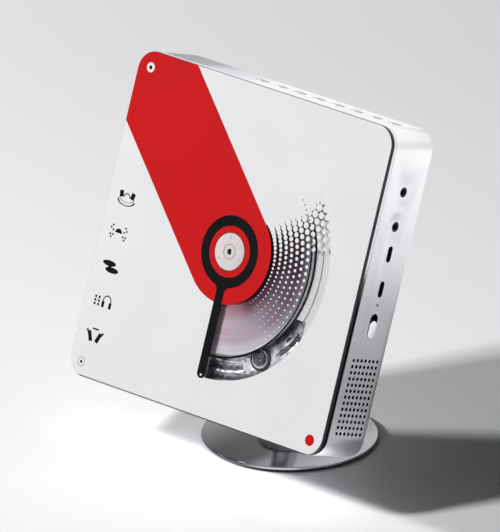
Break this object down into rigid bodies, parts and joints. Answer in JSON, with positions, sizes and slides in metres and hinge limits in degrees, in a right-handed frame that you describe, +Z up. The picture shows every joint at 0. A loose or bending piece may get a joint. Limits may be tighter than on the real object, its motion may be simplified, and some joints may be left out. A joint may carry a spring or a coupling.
{
  "type": "disc player",
  "caption": "Slim square disc player with a printed clear front cover, side ports and top buttons, reclined on a round desk stand.",
  "frame": {"origin": "centre of the stand's underside", "axes": "+X to the player's right seen from its front, -Y towards its front, +Z up"},
  "size_m": [0.1947, 0.1364, 0.2243],
  "materials": {
    "anodised": "fine satin",
    "white_shell": "satin",
    "black_rubber": "matte",
    "grey_rubber": "matte",
    "magnet_metal": "plated",
    "plate_steel": "zinc plated",
    "bright_steel": "polished",
    "dark_steel": "blackened",
    "brass_gold": "turned",
    "motor_can": "drawn",
    "black_plastic": "moulded",
    "green_board": "soldermask",
    "battery_wrap": "wrapped pouch",
    "clear_plastic": "clear",
    "cone_paper": "felted",
    "ribbon_film": "flexible",
    "print_white": "printed film",
    "disc_clear": "mirror with a violet sheen",
    "grey_plastic": "moulded",
    "puck_white": "moulded",
    "gear_ivory": "moulded",
    "lens_blue": "coated",
    "knob_white": "satin",
    "button_silver": "satin",
    "polished_steel": "polished"
  },
  "bodies": {
    "player": {"side_frame": "anodised", "back_cover": "white_shell", "front_deck": "white_shell", "cover_seal": "black_rubber", "deck_magnets": "magnet_metal", "mech_plate": "plate_steel", "damper_grommets": "grey_rubber", "shoulder_screws": "bright_steel", "mech_pillars": "brass_gold", "spindle_motor": "motor_can", "guide_rods": "bright_steel", "sled_motor": "motor_can", "gear_post": "bright_steel", "limit_switch": "black_plastic", "main_board": "green_board", "board_chips": "black_plastic", "battery_pack": "battery_wrap", "port_board": "green_board", "audio_jacks": "black_plastic", "usb_sockets": "bright_steel", "led_pipe": "clear_plastic", "switch_body": "bright_steel", "speaker_basket": "black_plastic", "speaker_cone": "cone_paper", "speaker_magnet": "magnet_metal", "button_board": "green_board", "tact_switches": "bright_steel", "small_screws": "bright_steel", "case_screws": "bright_steel", "mech_ribbon": "ribbon_film", "base_plate": "polished_steel", "base_pad": "grey_rubber", "stand_arm": "polished_steel", "mount_disc": "polished_steel", "mount_screws": "dark_steel", "foot_screw": "dark_steel"},
    "cover": {"front_cover": "clear_plastic", "printed_film": "print_white", "catch_plates": "bright_steel"},
    "spinner": {"disc": "disc_clear", "turntable": "grey_plastic", "spindle_shaft": "bright_steel", "clamp_puck": "puck_white", "puck_magnet": "magnet_metal"},
    "sled": {"pickup_sled": "grey_plastic", "sled_rack": "gear_ivory", "lens_holder": "black_plastic", "objective_lens": "lens_blue"},
    "drive_gear": {"drive_gear": "gear_ivory"},
    "motor_pinion": {"motor_pinion": "brass_gold"},
    "power_knob": {"switch_knob": "knob_white"},
    "source_button": {"source_button": "button_silver"},
    "stop_button": {"stop_button": "button_silver"},
    "previous_button": {"previous_button": "button_silver"},
    "play_button": {"play_button": "button_silver"},
    "next_button": {"next_button": "button_silver"},
    "volume_down_button": {"volume_down_button": "button_silver"},
    "volume_up_button": {"volume_up_button": "button_silver"},
    "repeat_button": {"repeat_button": "button_silver"}
  },
  "joints": [
    {"name": "cover_lift", "type": "slide", "parent": "player", "child": "cover", "axis": [0, -0.9397, 0.342], "range_m": [0, 0.045]},
    {"name": "disc_spin", "type": "hinge", "parent": "player", "child": "spinner", "pos_m": [0, -0.04926, 0.13222], "axis": [0, -0.9397, 0.342], "continuous": true},
    {"name": "sled_slide", "type": "slide", "parent": "player", "child": "sled", "axis": [-1, 0, 0], "range_m": [0, 0.034]},
    {"name": "drive_gear_spin", "type": "hinge", "parent": "player", "child": "drive_gear", "pos_m": [-0.038, -0.04996, 0.10311], "axis": [0, -0.9397, 0.342], "range_deg": [0, 543]},
    {"name": "motor_pinion_spin", "type": "hinge", "parent": "player", "child": "motor_pinion", "pos_m": [-0.038, -0.05004, 0.09121], "axis": [0, -0.9397, 0.342], "range_deg": [-1625, 0]},
    {"name": "power_slide", "type": "slide", "parent": "player", "child": "power_knob", "axis": [0, 0.342, 0.9397], "range_m": [0, 0.0038]},
    {"name": "source_press", "type": "slide", "parent": "player", "child": "source_button", "axis": [0, -0.342, -0.9397], "range_m": [0, 0.0006], "stiffness_N_per_m": 1500},
    {"name": "stop_press", "type": "slide", "parent": "player", "child": "stop_button", "axis": [0, -0.342, -0.9397], "range_m": [0, 0.0006], "stiffness_N_per_m": 1500},
    {"name": "previous_press", "type": "slide", "parent": "player", "child": "previous_button", "axis": [0, -0.342, -0.9397], "range_m": [0, 0.0006], "stiffness_N_per_m": 1500},
    {"name": "play_press", "type": "slide", "parent": "player", "child": "play_button", "axis": [0, -0.342, -0.9397], "range_m": [0, 0.0006], "stiffness_N_per_m": 1500},
    {"name": "next_press", "type": "slide", "parent": "player", "child": "next_button", "axis": [0, -0.342, -0.9397], "range_m": [0, 0.0006], "stiffness_N_per_m": 1500},
    {"name": "volume_down_press", "type": "slide", "parent": "player", "child": "volume_down_button", "axis": [0, -0.342, -0.9397], "range_m": [0, 0.0006], "stiffness_N_per_m": 1500},
    {"name": "volume_up_press", "type": "slide", "parent": "player", "child": "volume_up_button", "axis": [0, -0.342, -0.9397], "range_m": [0, 0.0006], "stiffness_N_per_m": 1500},
    {"name": "repeat_press", "type": "slide", "parent": "player", "child": "repeat_button", "axis": [0, -0.342, -0.9397], "range_m": [0, 0.0006], "stiffness_N_per_m": 1500}
  ],
  "couplings": [
    {"joint": "drive_gear_spin", "follows": "sled_slide", "rad_per_m": 277.78},
    {"joint": "motor_pinion_spin", "follows": "sled_slide", "rad_per_m": -833.33}
  ]
}
